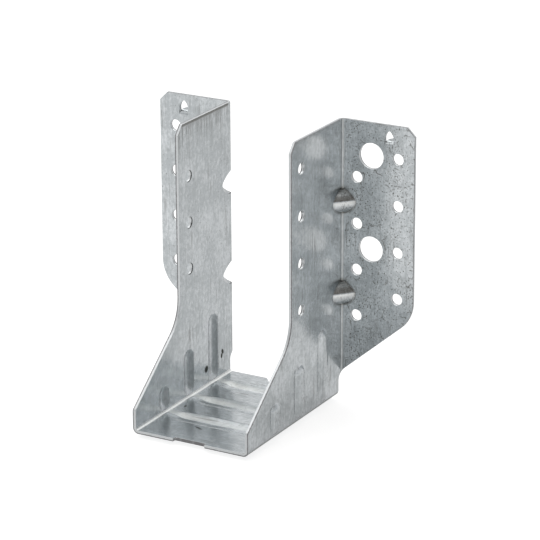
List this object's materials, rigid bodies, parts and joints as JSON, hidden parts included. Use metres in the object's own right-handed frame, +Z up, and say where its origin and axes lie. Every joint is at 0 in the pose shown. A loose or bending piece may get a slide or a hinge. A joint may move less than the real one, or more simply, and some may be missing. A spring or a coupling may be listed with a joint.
{
  "type": "joist hanger",
  "caption": "Face-fix joist hanger: a channel folded from galvanised sheet carries the joist, with side flanges nailed or bolted to the header.",
  "frame": {"origin": "middle of the channel, on the header's face (back of the flanges), level with the face that the joist bears on", "axes": "+X across the joist, +Y from the joist to the header, +Z up"},
  "size_m": [0.12, 0.085, 0.1221],
  "materials": {
    "galvanised_steel": "dull hot-dip galvanised sheet with a fine grain and dark rolling flecks"
  },
  "bodies": {
    "root": {"hanger": "galvanised_steel"}
  },
  "joints": []
}
